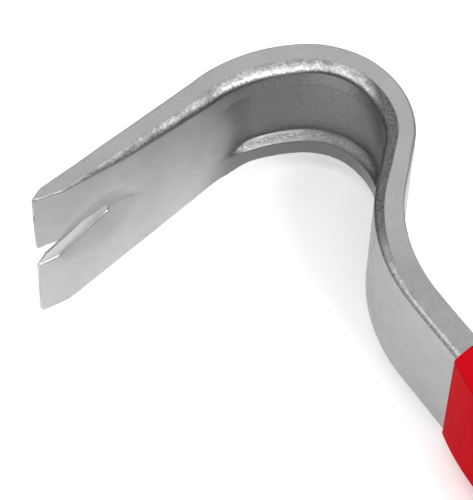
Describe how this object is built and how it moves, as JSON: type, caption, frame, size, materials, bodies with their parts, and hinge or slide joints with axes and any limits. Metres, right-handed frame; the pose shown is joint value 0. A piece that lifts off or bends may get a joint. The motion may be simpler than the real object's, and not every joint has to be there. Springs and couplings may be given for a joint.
{
  "type": "pry bar",
  "caption": "Gooseneck nail puller: forged bar with a notched claw, pocketed hook and S-bend, in a moulded two-shell handle with soft inlays, hang hole and steel strike cap.",
  "frame": {"origin": "middle of the strike face at the butt, on the axis of the handle", "axes": "+X along the handle from the butt to the hook; +Y towards the side that the claw turns to; +Z across the width of the bar, so that the tool lies on its side"},
  "size_m": [0.3152, 0.0912, 0.0381],
  "materials": {
    "forged_steel": "bright forged steel, fine grain left by blasting, polished on the high edges",
    "red_plastic": "hard moulded plastic, glossy",
    "soft_black": "soft moulded elastomer, fine matt grain",
    "sleeve_rubber": "plain rubber",
    "fastener_steel": "zinc-plated steel",
    "eyelet_steel": "nickel-plated steel",
    "cap_steel": "turned steel, satin"
  },
  "bodies": {
    "root": {"pry_bar": "forged_steel", "grip_shell_inner": "red_plastic", "grip_shell_outer": "red_plastic", "soft_grip_inner": "soft_black", "soft_grip_outer": "soft_black", "damping_sleeve": "sleeve_rubber", "handle_screws": "fastener_steel", "sleeve_nuts": "fastener_steel", "hang_eyelet": "eyelet_steel", "strike_cap": "cap_steel", "cap_pin": "fastener_steel"}
  },
  "joints": []
}
